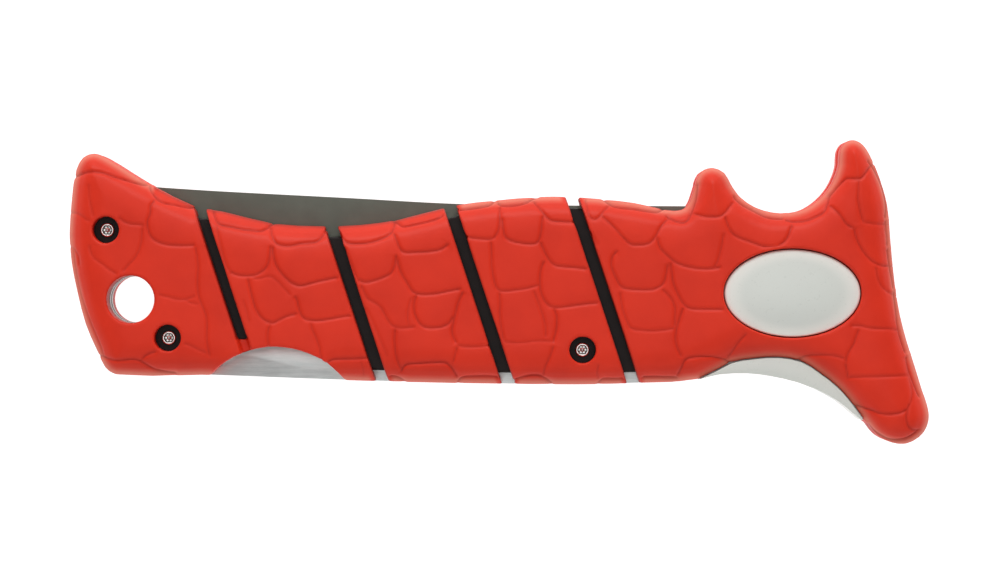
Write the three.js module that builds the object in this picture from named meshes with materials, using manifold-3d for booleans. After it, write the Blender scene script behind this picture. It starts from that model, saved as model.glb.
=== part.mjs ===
// A large lock-back folding knife with a rubber-covered handle, shown closed.
//
// Millimetres. The blade's pivot axis is the Z axis. +X runs along the handle from the butt to the guard,
// +Y is the side that the blade folds out of, and z = 0 is the side that the knife lies on.
// Parts are drawn about the mid-plane between the two handle scales, and the knife is lifted at the end.

import * as THREE from 'three';
import { mergeVertices } from 'three/addons/utils/BufferGeometryUtils.js';
import Module from 'manifold-3d';

const wasm = await Module();
wasm.setup();

// ---------------------------------------------------------------- driving dimensions

const HALF_THICKNESS = 12; // mid-plane to the outer face of a scale
const GAP = 0.3; // between moulded pieces that meet
const SLIP = 0.05; // between flat layers that are clamped together

// Layers, as distances from the mid-plane.
const BLADE_HALF = 1.2;
const LOCK_BAR_HALF = 1.5;
const LINER_IN = 1.7;
const LINER_OUT = 3.2;
const CORE_OUT = 6;
const SKIRT_IN = 1.75; // inner face of the rubber that wraps round the core's edge
const THUMB_REST_OUT = 8.5;
const EDGE_ROUND = 3; // rounding of the rubber's outer edge
const CORE_INSET = 2.8; // how far the core and liner stay inside the rubber's outline
const PIN_ROOM = 0.2; // round the pins and standoffs, in the holes that they pass through

// Places in the side view.
const SCREW_PLACES = { upper: [-177.7, 16.4], lower: [-161.7, -11.6], lock: [-54.3, -14.7] };
const LOCK_PIVOT = SCREW_PLACES.lock;
// The rubber lines the hole down to the liner, as a sleeve.
const LANYARD_HOLE = { x: -171.3, y: -1.6, rubber: 6.2, steel: 6, sleeve: 7.4 };
const RELEASE_SCOOP = { x: -134, y: -37.2, radius: 23.3 };
const BADGE = { halfLength: 17.9, halfHeight: 11.6 };
const GROOVE = {
  first: -146.3, pitch: 32.5, width: 3.2, firstWidth: 2.7, lean: 0.33, count: 4, firstEnd: -11.9,
};

// Fasteners.
const WELL_RADIUS = 3.5;
const SCREW = { head: 1.9, headHeight: 1.3, shank: 1, length: 5, socket: 1.05, depth: 0.9 };
const STANDOFF_RADIUS = 2.4;
const STANDOFF_BORE = 1.3;
const PIVOT_PIN = { outer: 3.5, bore: 1.7 };
const PIVOT_SCREW = { head: 5.5, headHeight: 1.8, shank: 1.4, length: 5, socket: 2, depth: 1.2 };
const WASHER = { inner: 3.85, outer: 8.5, thickness: 0.4 };

// Tang and lock. The tooth rides just clear of the tang's rim, and drops into the notch of the open blade.
const TANG_RIM = 15;
const TANG_RELIEF = 13.2;
const TOOTH = { left: -9, right: -4.5, top: -11 };
const NOTCH_FLOOR = 10.1;
const BLADE_TIP = [-177.5, 28.6];
const BLADE_HEEL = -24;
const BLADE_TAPER = 0.45; // share of the thickness that is gone at the tip
const BLADE_BORE_ROOM = 0.12;
const GRIND_TOP = 0.72; // where the ground bevel starts, as a share of the way from the edge to the spine
const EDGE_HALF = 0.12;

// ---------------------------------------------------------------- outlines

// The rubber's outline, anticlockwise from the butt's lower corner.
const GRIP_BOTTOM = [[-175.5, -21.1], [-153, -21.2], [-116, -22.6], [-85, -23.4], [-56, -23.7], [-38, -23.3],
  [-24.5, -22.3]];
const THUMB_HOLLOW = [[-15.7, -17.9], [-10, -16.9], [-3.5, -16.5], [2.5, -17.6], [7, -20.3], [12.3, -24.5],
  [15.3, -27.9], [18.6, -32.4]];
const LOWER_HORN = [[20.5, -35.2], [22.6, -37.3], [25.7, -38.8], [29.6, -39.2], [33.2, -37.4], [35.2, -34.6],
  [35.7, -31.5], [34.9, -28]];
const GUARD_FRONT = [[33.8, -24.7], [31.9, -18.5], [29.9, -12.2], [28.2, -5.5], [27, 2], [26.2, 9],
  [25.6, 16], [25, 23], [24, 27.2], [22.3, 31.8]];
const UPPER_HORN = [[20.4, 35.8], [18.6, 38.5], [16.2, 39.8], [13.8, 39.1], [12.5, 36.9], [12.3, 33.5]];
const FINGER_RECESS = [[11.5, 30.8], [9.8, 27.5], [7, 24.3], [3.6, 22], [-0.5, 20.9], [-5, 21], [-9.5, 22.4],
  [-13.3, 25], [-15.6, 28]];
const FRONT_HORN = [[-17.4, 31.2], [-20.7, 32.6], [-23.7, 31.4], [-25, 28.6], [-26.2, 24.5], [-27.8, 22]];
const GRIP_TOP = [[-30.5, 21.4], [-35, 22.2], [-41, 23.5], [-49, 24.4], [-58, 25], [-66, 25], [-77, 24.1],
  [-87, 22.9], [-102, 19.1], [-112, 17.7], [-122, 17.4], [-134, 18], [-148, 21.3], [-155, 22.6],
  [-166.4, 28.2]];
const BEAK = [[-172, 31.5], [-178.4, 35.4], [-181.2, 36.3], [-184, 35.2], [-185.8, 32]];
const BUTT_END = [[-186.8, 25.5], [-187.5, 15.5], [-187, 8], [-185.5, 0.3], [-183.3, -8.1], [-180.5, -14.6],
  [-178.3, -19.2]];

// Outer and inner edges of the thumb rest, left to right.
const THUMB_REST_OUTER = [[-24.2, -22.4], [-18.9, -21.1], [-11.6, -20.8], [-5.6, -21.5], [1, -23],
  [6.3, -24.9], [12.3, -28.2], [15.9, -31.1], [18.2, -33]];
const THUMB_REST_INNER = [[-24.2, -19.6], [-16.8, -14.9], [-10.5, -13.7], [-3.5, -13.3], [3.6, -14.5],
  [9, -17.8], [14.3, -22.2], [17.5, -25.6], [20.8, -30.4]];

// The closed blade: its spine from the tang to the tip, and its edge from the tip back to the heel.
const SPINE = [[BLADE_HEEL, 22.7], [-57, 22.9], [-86, 23.3], [-116, 24.9], [-148.5, 26.6],
  [-165.4, 27.7], BLADE_TIP];
const EDGE = [[BLADE_HEEL, -1.5], [-45, 0], [-70, 2], [-95, 4.6], [-120, 8.2], [-140, 11.8], [-155, 16],
  [-165, 20.2], [-172, 24.2], BLADE_TIP];

const vectors = (points) => points.map(([x, y]) => new THREE.Vector2(x, y));

// Points on a smooth curve through the given ones.
function smooth(points, perSpan, closed = false) {
  const through = points.map(([x, y]) => new THREE.Vector3(x, y, 0));
  const curve = new THREE.CatmullRomCurve3(through, closed, 'centripetal');
  const spans = closed ? points.length : points.length - 1;
  const found = curve.getPoints(spans * perSpan).map((p) => [p.x, p.y]);
  return closed ? found.slice(0, -1) : found;
}

function arc(x, y, radius, fromDegrees, toDegrees, steps) {
  return Array.from({ length: steps + 1 }, (_, i) => {
    const angle = THREE.MathUtils.degToRad(fromDegrees + ((toDegrees - fromDegrees) * i) / steps);
    return [x + radius * Math.cos(angle), y + radius * Math.sin(angle)];
  });
}

const circle = (x, y, radius, sides) => arc(x, y, radius, 0, 360 - 360 / sides, sides - 1);

function ellipse(halfLength, halfHeight, sides) {
  return circle(0, 0, 1, sides).map(([x, y]) => [x * halfLength, y * halfHeight]);
}

function distanceToOutline([x, y], outline) {
  let nearest = Infinity;
  outline.forEach(([ax, ay], i) => {
    const [bx, by] = outline[(i + 1) % outline.length];
    const along = ((x - ax) * (bx - ax) + (y - ay) * (by - ay)) / ((bx - ax) ** 2 + (by - ay) ** 2);
    const t = Math.min(1, Math.max(0, along));
    nearest = Math.min(nearest, Math.hypot(ax + t * (bx - ax) - x, ay + t * (by - ay) - y));
  });
  return nearest;
}

// An anticlockwise outline moved inwards, or outwards where distance is negative.
function inset(outline, distance) {
  const moved = outline.map(([x, y], i) => {
    const [px, py] = outline[(i + outline.length - 1) % outline.length];
    const [nx, ny] = outline[(i + 1) % outline.length];
    const length = Math.hypot(nx - px, ny - py);
    return [x - ((ny - py) / length) * distance, y + ((nx - px) / length) * distance];
  });
  return moved.filter((p) => distanceToOutline(p, outline) > Math.abs(distance) * 0.97);
}

const GRIP_POINTS = [...GRIP_BOTTOM, ...THUMB_HOLLOW, ...LOWER_HORN, ...GUARD_FRONT, ...UPPER_HORN,
  ...FINGER_RECESS, ...FRONT_HORN, ...GRIP_TOP, ...BEAK, ...BUTT_END];
const GRIP_OUTLINE = smooth(GRIP_POINTS, 2, true);
const CORE_OUTLINE = inset(GRIP_POINTS, CORE_INSET);
const CORE_ROOM = inset(GRIP_POINTS, CORE_INSET - GAP);
const THUMB_REST_OUTLINE = [...smooth(THUMB_REST_OUTER, 2), ...smooth(THUMB_REST_INNER, 2).reverse()];

// ---------------------------------------------------------------- solids

function solid(geometry) {
  const bare = geometry.index ? geometry.toNonIndexed() : geometry.clone();
  bare.deleteAttribute('normal');
  bare.deleteAttribute('uv');
  const merged = mergeVertices(bare, 1e-4);
  return new wasm.Manifold(new wasm.Mesh({
    numProp: 3,
    vertProperties: merged.attributes.position.array,
    triVerts: new Uint32Array(merged.index.array),
  }));
}

function geometryOf(manifold) {
  const mesh = manifold.getMesh();
  const geometry = new THREE.BufferGeometry();
  geometry.setAttribute('position', new THREE.BufferAttribute(mesh.vertProperties, 3));
  geometry.setIndex(new THREE.BufferAttribute(mesh.triVerts, 1));
  return geometry;
}

// An outline extruded from z0 to z1.
function prism(outline, z0, z1) {
  const shape = new THREE.Shape(vectors(outline));
  const geometry = new THREE.ExtrudeGeometry(shape, { depth: z1 - z0, bevelEnabled: false });
  return solid(geometry.translate(0, 0, z0));
}

// An outline extruded evenly both ways from the mid-plane, with rounded edges.
function roundedPrism(outline, half, round, segments) {
  const shape = new THREE.Shape(vectors(outline));
  const geometry = new THREE.ExtrudeGeometry(shape, {
    depth: 2 * (half - round),
    bevelThickness: round,
    bevelSize: round,
    bevelOffset: -round,
    bevelSegments: segments,
  });
  return solid(geometry.translate(0, 0, round - half));
}

const disc = (x, y, radius, z0, z1, sides = 24) => prism(circle(x, y, radius, sides), z0, z1);
const tube = (x, y, inner, outer, z0, z1, sides = 24) =>
  disc(x, y, outer, z0, z1, sides).subtract(disc(x, y, inner, z0 - 1, z1 + 1, sides));

// Joins closed cross-sections, each with the same number of points, into one solid.
function loft(sections) {
  const sides = sections[0].length;
  const faces = [];
  for (let s = 0; s + 1 < sections.length; s += 1) {
    for (let i = 0; i < sides; i += 1) {
      const j = (i + 1) % sides;
      const [a, b, c, d] = [s * sides + i, s * sides + j, (s + 1) * sides + j, (s + 1) * sides + i];
      faces.push(a, b, c, a, c, d);
    }
  }
  const last = (sections.length - 1) * sides;
  for (let i = 1; i + 1 < sides; i += 1) {
    faces.push(0, i + 1, i, last, last + i, last + i + 1);
  }
  const geometry = new THREE.BufferGeometry();
  geometry.setAttribute('position', new THREE.Float32BufferAttribute(sections.flat(2), 3));
  geometry.setIndex(faces);
  return solid(geometry);
}

function piece(name, manifold, finish) {
  const mesh = new THREE.Mesh(geometryOf(manifold), finish);
  mesh.name = name;
  return mesh;
}

// ---------------------------------------------------------------- materials

function material(color, roughness, metalness) {
  return new THREE.MeshStandardMaterial({ color, roughness, metalness });
}

const RED_RUBBER = material(0xd2382a, 0.5, 0);
const BLACK_POLYMER = material(0x24211f, 0.45, 0);
const WHITE_PLASTIC = material(0xd8dad2, 0.3, 0);
const COATED_STEEL = material(0x57544d, 0.4, 0.7);
const BRUSHED_STEEL = material(0xb4b6b0, 0.35, 1);
const SPRING_STEEL = material(0x8d9096, 0.3, 1);
const BRIGHT_STEEL = material(0xd0d0cc, 0.2, 1);
const BRONZE = material(0xb08a50, 0.35, 1);

// ---------------------------------------------------------------- handle halves, drawn for the front

function grooveOutline(index) {
  const halfWidth = (index === 0 ? GROOVE.firstWidth : GROOVE.width) / 2;
  const centre = GROOVE.first + index * GROOVE.pitch;
  const [low, high] = [index === 0 ? GROOVE.firstEnd : -40, 40];
  const at = (y, side) => [centre - GROOVE.lean * y + side * halfWidth, y];
  return [at(low, -1), at(low, 1), at(high, 1), at(high, -1)];
}

// Where the two rubber halves leave room for the blade and the lock bar to move.
function moverChannel() {
  return [[-156, -60], [6, -60], [6, -23.6], [60, -23.6], [60, 60], [-180.5, 60], [-180.5, 21], [-156, 12]];
}

function wells(z0, z1, radius) {
  return Object.values(SCREW_PLACES).map(([x, y]) => disc(x, y, radius, z0, z1));
}

function releaseScoop(extra, sides) {
  return disc(RELEASE_SCOOP.x, RELEASE_SCOOP.y, RELEASE_SCOOP.radius + extra, -1, HALF_THICKNESS + 1, sides);
}

// The rubber's lining of the lanyard hole, where it passes through the core.
function lanyardSleeve() {
  const { x, y, rubber, sleeve } = LANYARD_HOLE;
  return tube(x, y, rubber, sleeve, LINER_OUT + SLIP, CORE_OUT + GAP, 32);
}

// The rubber of one side. The grooves part it into separate pads.
function gripPads() {
  const top = HALF_THICKNESS + 1;
  const cuts = [
    prism(CORE_ROOM, -1, CORE_OUT + SLIP),
    prism(moverChannel(), -1, SKIRT_IN),
    prism(inset(THUMB_REST_OUTLINE, -GAP), -1, CORE_OUT + GAP),
    disc(LANYARD_HOLE.x, LANYARD_HOLE.y, LANYARD_HOLE.rubber, -1, top, 32),
    prism(ellipse(BADGE.halfLength, BADGE.halfHeight, 48), CORE_OUT - 1, top),
    releaseScoop(0, 64),
    ...wells(CORE_OUT - 1, top, WELL_RADIUS),
  ];
  for (let i = 0; i < GROOVE.count; i += 1) cuts.push(prism(grooveOutline(i), -1, top));
  const lowHalf = prism([[-300, -100], [100, -100], [100, 100], [-300, 100]], -20, GAP / 2);
  const whole = roundedPrism(GRIP_OUTLINE, HALF_THICKNESS, EDGE_ROUND, 3).subtract(lowHalf);
  const parted = cuts.reduce((left, cut) => left.subtract(cut), whole);
  const pads = parted.add(lanyardSleeve()).decompose();
  return pads.sort((a, b) => a.boundingBox().min[0] - b.boundingBox().min[0]);
}

function scalePlate(zIn, zOut, screwHole, lanyardHole) {
  const holes = [
    disc(0, 0, PIVOT_PIN.outer + PIN_ROOM, zIn - 1, zOut + 1),
    disc(LANYARD_HOLE.x, LANYARD_HOLE.y, lanyardHole, zIn - 1, zOut + 1, 32),
    releaseScoop(GAP, 64),
    ...wells(zIn - 1, zOut + 1, screwHole),
  ];
  return holes.reduce((left, hole) => left.subtract(hole), prism(CORE_OUTLINE, zIn, zOut));
}

const liner = () => scalePlate(LINER_IN, LINER_OUT, STANDOFF_RADIUS + PIN_ROOM, LANYARD_HOLE.steel);
const core = () => {
  return scalePlate(LINER_OUT + SLIP, CORE_OUT, SCREW.shank + 0.25, LANYARD_HOLE.sleeve + GAP / 2);
};

// The oval badge fills its window in the rubber, and is hollow behind for the pivot screw's head.
function badge() {
  const oval = ellipse(BADGE.halfLength - GAP, BADGE.halfHeight - GAP, 48);
  const pocketDepth = PIVOT_SCREW.headHeight + 0.4;
  const pocket = disc(0, 0, PIVOT_SCREW.head + 0.5, CORE_OUT, CORE_OUT + pocketDepth);
  return prism(oval, CORE_OUT + SLIP, HALF_THICKNESS).subtract(pocket);
}

// A screw along Z, its head standing on the core.
function socketScrew(x, y, sizes) {
  const seat = CORE_OUT + SLIP;
  const top = seat + sizes.headHeight;
  const head = disc(x, y, sizes.head, seat, top);
  const shank = disc(x, y, sizes.shank, seat - sizes.length, seat + 0.1, 16);
  return head.add(shank).subtract(disc(x, y, sizes.socket, top - sizes.depth, top + 1, 6));
}

function washer() {
  return tube(0, 0, WASHER.inner, WASHER.outer, BLADE_HALF + SLIP, BLADE_HALF + SLIP + WASHER.thickness, 32);
}

function handleHalf(side) {
  const half = new THREE.Group();
  const padNames = ['grip_butt', 'grip_middle_1', 'grip_middle_2', 'grip_head'];
  gripPads().forEach((pad, i) => half.add(piece(`${side}_${padNames[i]}`, pad, RED_RUBBER)));
  half.add(piece(`${side}_liner`, liner(), BRUSHED_STEEL));
  half.add(piece(`${side}_core`, core(), BLACK_POLYMER));
  half.add(piece(`${side}_badge`, badge(), WHITE_PLASTIC));
  half.add(piece(`${side}_pivot_washer`, washer(), BRONZE));
  half.add(piece(`${side}_pivot_screw`, socketScrew(0, 0, PIVOT_SCREW), BRIGHT_STEEL));
  Object.entries(SCREW_PLACES).forEach(([place, [x, y]]) => {
    half.add(piece(`${side}_${place}_screw`, socketScrew(x, y, SCREW), BRIGHT_STEEL));
  });
  return half;
}

// ---------------------------------------------------------------- pieces on the mid-plane

// The bladed part: a spine that thins towards the tip, flat sides, and a ground bevel down to the edge.
function bladeBody() {
  const stations = 28;
  const spine = new THREE.SplineCurve(vectors(SPINE));
  const edge = new THREE.SplineCurve(vectors(EDGE));
  const sections = Array.from({ length: stations + 1 }, (_, i) => {
    const t = (i / stations) * 0.995;
    const top = spine.getPointAt(t);
    const low = edge.getPointAt(t);
    const half = BLADE_HALF * (1 - BLADE_TAPER * t);
    const grind = low.clone().lerp(top, GRIND_TOP);
    return [[top.x, top.y, half], [top.x, top.y, -half], [grind.x, grind.y, -half],
      [low.x, low.y, -EDGE_HALF], [low.x, low.y, EDGE_HALF], [grind.x, grind.y, half]];
  });
  return loft(sections);
}

// The tang in the closed position. Its rim carries the lock bar's tooth while the blade swings.
function tang() {
  const notchLeft = -TOOTH.right - GAP;
  const notchRight = -TOOTH.left + GAP;
  const rimStart = THREE.MathUtils.radToDeg(Math.acos(notchRight / TANG_RIM));
  const outline = [
    [BLADE_HEEL - 0.5, -1.5], [-21.5, -3.4], [-16, -5.2],
    ...arc(0, 0, TANG_RELIEF, 216, 256, 8),
    ...arc(0, 0, TANG_RIM, 264, 360 + rimStart, 40),
    [notchRight, NOTCH_FLOOR], [notchLeft, NOTCH_FLOOR], [notchLeft, 19.8],
    [-5.6, 20], [-7.2, 20.6], [-8.1, 21.6], [-8.9, 22.3], [-10.2, 22.5], [BLADE_HEEL - 0.5, 22.7],
  ];
  return prism(outline, -BLADE_HALF, BLADE_HALF);
}

function blade() {
  return bladeBody().add(tang()).subtract(disc(0, 0, PIVOT_PIN.outer + BLADE_BORE_ROOM, -2, 2, 32));
}

function lockBar() {
  const [pinX, pinY] = LOCK_PIVOT;
  const front = [[-25, -22.2], [-16, -20.9], [-9, -20.5]];
  const bottom = smooth([[-153, -21.2], ...GRIP_BOTTOM.slice(2, -1), ...front], 2);
  const outline = [
    ...bottom, [TOOTH.right, -20.7], [TOOTH.right, TOOTH.top], [TOOTH.left, TOOTH.top], [TOOTH.left, -14.5],
    [-20, -15], [-41, -14.4], ...arc(pinX, pinY, 5.4, 40, 140, 8), [-67, -13.4], [-112, -13.4], [-122, -12.4],
    [-150.5, -12.4], ...arc(-150.8, -14.6, 2.2, 95, 180, 4),
  ];
  return prism(outline, -LOCK_BAR_HALF, LOCK_BAR_HALF)
    .subtract(disc(0, 0, TANG_RIM + GAP, -2, 2, 96))
    .subtract(disc(pinX, pinY, STANDOFF_RADIUS + PIN_ROOM, -2, 2));
}

// Centre line of the leaf spring, from its slot in the butt spacer to the top of the lock bar.
const SPRING_LINE = [[-163, -3.5], [-157, -3.8], [-145, -6.3], [-133, -10], [-124.5, -11.8], [-121, -11.4]];
const SPRING_HALF_THICKNESS = 0.4;

function ribbon(line, halfThickness) {
  const path = smooth(line, 3);
  const normal = (i) => {
    const [ax, ay] = path[Math.max(0, i - 1)];
    const [bx, by] = path[Math.min(path.length - 1, i + 1)];
    const length = Math.hypot(bx - ax, by - ay);
    return [-(by - ay) / length, (bx - ax) / length];
  };
  const side = (sign) => path.map(([x, y], i) => {
    const [nx, ny] = normal(i);
    return [x + sign * halfThickness * nx, y + sign * halfThickness * ny];
  });
  return [...side(-1), ...side(1).reverse()];
}

const lockSpring = () => prism(ribbon(SPRING_LINE, SPRING_HALF_THICKNESS), -1.3, 1.3);

function buttSpacer() {
  const half = LINER_IN - SLIP;
  const keep = prism([[-200, -40], [-157.5, -40], [-157.5, 13.5], [-173, 21], [-200, 21.5]], -2, 2);
  const springSlot = prism(ribbon(SPRING_LINE.slice(0, 2).concat([[-150, -4.4]]), 0.7), -2, 2);
  const blank = prism(CORE_OUTLINE, -half, half).intersect(keep);
  return blank
    .subtract(springSlot)
    .subtract(disc(...SCREW_PLACES.upper, STANDOFF_RADIUS + PIN_ROOM, -2, 2))
    .subtract(disc(...SCREW_PLACES.lower, STANDOFF_RADIUS + PIN_ROOM, -2, 2))
    .subtract(disc(LANYARD_HOLE.x, LANYARD_HOLE.y, LANYARD_HOLE.steel, -2, 2, 32));
}

// The saddle that the thumb presses on. Its two cheeks are joined under the open blade's spine.
function thumbRest() {
  const rubber = prism(inset(GRIP_OUTLINE, -GAP), CORE_OUT - SLIP, HALF_THICKNESS);
  const mirrored = prism(inset(GRIP_OUTLINE, -GAP), -HALF_THICKNESS, SLIP - CORE_OUT);
  return prism(THUMB_REST_OUTLINE, -THUMB_REST_OUT, THUMB_REST_OUT)
    .subtract(prism(CORE_ROOM, -HALF_THICKNESS, HALF_THICKNESS))
    .subtract(rubber)
    .subtract(mirrored)
    .subtract(prism(moverChannel(), -SKIRT_IN, SKIRT_IN));
}

const pivotPin = () => tube(0, 0, PIVOT_PIN.bore, PIVOT_PIN.outer, -CORE_OUT + SLIP, CORE_OUT - SLIP, 32);
const standoff = ([x, y]) => tube(x, y, STANDOFF_BORE, STANDOFF_RADIUS, -LINER_OUT, LINER_OUT);

// ---------------------------------------------------------------- assembly

const knife = new THREE.Group();
knife.position.z = HALF_THICKNESS;
knife.add(handleHalf('front'));

const rearHalf = handleHalf('rear');
rearHalf.scale.z = -1;
knife.add(rearHalf);

knife.add(piece('blade', blade(), COATED_STEEL));
knife.add(piece('lock_bar', lockBar(), BRUSHED_STEEL));
knife.add(piece('lock_spring', lockSpring(), SPRING_STEEL));
knife.add(piece('butt_spacer', buttSpacer(), BLACK_POLYMER));
knife.add(piece('thumb_rest', thumbRest(), WHITE_PLASTIC));
knife.add(piece('pivot_pin', pivotPin(), BRIGHT_STEEL));
knife.add(piece('upper_standoff', standoff(SCREW_PLACES.upper), BRIGHT_STEEL));
knife.add(piece('lower_standoff', standoff(SCREW_PLACES.lower), BRIGHT_STEEL));
knife.add(piece('lock_bar_pin', standoff(SCREW_PLACES.lock), BRIGHT_STEEL));

const root = new THREE.Group();
root.add(knife);

export default root;
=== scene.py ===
import math

import bmesh
import bpy
import numpy as np
from mathutils import Matrix, Vector


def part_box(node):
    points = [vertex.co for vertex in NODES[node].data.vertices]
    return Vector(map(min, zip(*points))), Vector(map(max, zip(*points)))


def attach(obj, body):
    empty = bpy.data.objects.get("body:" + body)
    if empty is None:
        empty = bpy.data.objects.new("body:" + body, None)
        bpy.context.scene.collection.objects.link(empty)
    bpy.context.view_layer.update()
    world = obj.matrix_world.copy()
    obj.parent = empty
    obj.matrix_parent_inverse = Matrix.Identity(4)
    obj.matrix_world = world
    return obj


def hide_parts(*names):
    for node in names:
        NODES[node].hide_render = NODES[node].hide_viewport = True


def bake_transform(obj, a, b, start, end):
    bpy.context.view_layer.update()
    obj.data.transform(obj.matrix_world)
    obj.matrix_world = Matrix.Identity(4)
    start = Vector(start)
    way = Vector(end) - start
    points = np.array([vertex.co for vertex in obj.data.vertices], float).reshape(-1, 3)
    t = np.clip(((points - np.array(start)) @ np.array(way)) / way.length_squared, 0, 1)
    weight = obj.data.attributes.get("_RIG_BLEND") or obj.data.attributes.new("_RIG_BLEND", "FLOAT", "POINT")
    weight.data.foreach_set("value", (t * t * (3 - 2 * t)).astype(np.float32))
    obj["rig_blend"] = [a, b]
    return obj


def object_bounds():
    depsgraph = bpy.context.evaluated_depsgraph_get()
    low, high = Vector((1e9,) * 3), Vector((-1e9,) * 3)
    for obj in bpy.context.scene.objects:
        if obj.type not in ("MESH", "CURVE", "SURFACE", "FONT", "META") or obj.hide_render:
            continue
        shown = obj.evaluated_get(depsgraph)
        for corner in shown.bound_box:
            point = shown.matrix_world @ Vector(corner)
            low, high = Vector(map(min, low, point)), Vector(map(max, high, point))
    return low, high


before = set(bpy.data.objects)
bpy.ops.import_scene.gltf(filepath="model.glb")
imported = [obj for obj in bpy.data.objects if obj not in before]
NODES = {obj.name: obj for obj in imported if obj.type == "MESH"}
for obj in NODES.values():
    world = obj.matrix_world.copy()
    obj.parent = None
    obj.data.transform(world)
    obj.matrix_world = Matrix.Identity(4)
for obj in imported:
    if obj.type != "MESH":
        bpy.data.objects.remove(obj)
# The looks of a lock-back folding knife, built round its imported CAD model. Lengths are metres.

CAD_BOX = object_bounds()
MM = 0.001

# ---------------------------------------------------------------- places read from the frame, in metres

MID_Z = sum(corner.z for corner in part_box("blade")) / 2
TOP_Z = CAD_BOX[1].z
CORE_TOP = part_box("front_core")[1].z
BADGE_LOW, BADGE_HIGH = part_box("front_badge")
SCREW_PLACES = {screw: sum(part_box(f"front_{screw}_screw"), Vector()) / 2
                for screw in ("upper", "lower", "lock")}
PAD_NAMES = ("grip_butt", "grip_middle_1", "grip_middle_2", "grip_head")

# ---------------------------------------------------------------- shapes of the looks, in millimetres

VOXEL = 0.36     # of the rubber's remeshing
EDGE_RING = 9.0         # height over the mid-plane at which the rubber's outer edge starts to round
SOFTEN_PASSES = 3       # of smoothing, over all of the rubber's outer faces
CROWN_DROP = 1.5        # how far the rubber falls away towards its outline
CROWN_REACH = 10.0      # from the outline to where the crown is level
EDGE_ROLL_DROP = 2.3    # and the tighter roll right at the outline
EDGE_ROLL = 5.0         # width of that roll
CORNER_PASSES = 12      # of smoothing, where a groove meets the outline
CORNER_REACH = 2.6
PAINTED_HIGHLIGHT_WIDTH = 1.1       # of the painted highlight, a paler rim along the rubber's outline
EDGE_SHADE = 0.45       # how dark the grooves' edges and the edge over the blade are
LINE_DEPTH = 0.4        # of the lines between the rubber's scales
LINE_WIDTH = 0.34
PILLOW_RISE = 0.3       # from a scale's edge to its middle
PILLOW_REACH = 1.5      # over which a scale rises
LINE_FADE = 1.2         # length over which a line dies away at its ends
PAINTED_LINE_SHADE_WIDTH = 0.27     # of the painted shade, a darker colour along a line
WELL_RADIUS = 3.5       # of the wells that the screws sit in
HOLE_RADIUS = 6.2       # of the lanyard hole in the rubber
HOLE_CENTRE = np.array([-171.3, -1.6])
BADGE_OVAL = (18.2, 11.9)       # half sizes of the oval round the badge inside which no line is carved
FAR = 1e9               # a distance that anything found is nearer than
GROOVE_FIRST = -146.3   # the slanted grooves between the pads, where they cross the X axis
GROOVE_PITCH = 32.5
GROOVE_LEAN = 0.33      # how far a groove leans in X for each millimetre in Y
GROOVE_COUNT = 4
GROOVE_FIRST_WIDTH = 2.7
GROOVE_WIDTH = 3.2      # of the other grooves
BRIDGE_TOP = -10.5      # the first groove stops here, where rubber closes its lower end
BRIDGE_DROP = 3.6       # how far that rubber lies below the scales
SHADE_WIDTH = 0.3       # of the dark line along the grooves' walls
RIM_SHADE_WIDTH = 0.5   # of the one along the edge over the blade
BLADE_SIDE = (-166, -86, 14)    # the edge over the blade: its two ends, and the height it lies above
CORE_VOXEL = 0.4
CORE_ROLL = 4.5         # width of the core's rolled edge
CORE_ROLL_DROP = 2.0
BADGE_DROP = 1.1        # from the badge's middle to its rim
BADGE_ROUNDING = 0.6    # radius of the rim
BADGE_HIGHLIGHT_FROM = 0.72  # share of the badge's radius at which its painted highlight, a paler rim, starts
GROUND_EDGE = 1.1       # width of the bare strip along the cutting edge
EDGE_HALF = 0.125       # a cutting edge's points are nearer to the mid-plane than this
BLADE_HEEL = -25.0      # where the cutting edge starts
SCREW_RISE = 1.3        # of a screw's head over the core
FLOOR_SIZE = 1.5        # metres, from the middle to a side
FLOOR_GLOW = 1.02       # strength of the floor's own light
WORLD_SIDES_AND_TOP = (0.9, 0.2)    # strengths of the surround
CAMERA_AT = (-75.7 * MM, 0.3 * MM, 1.029)

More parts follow.
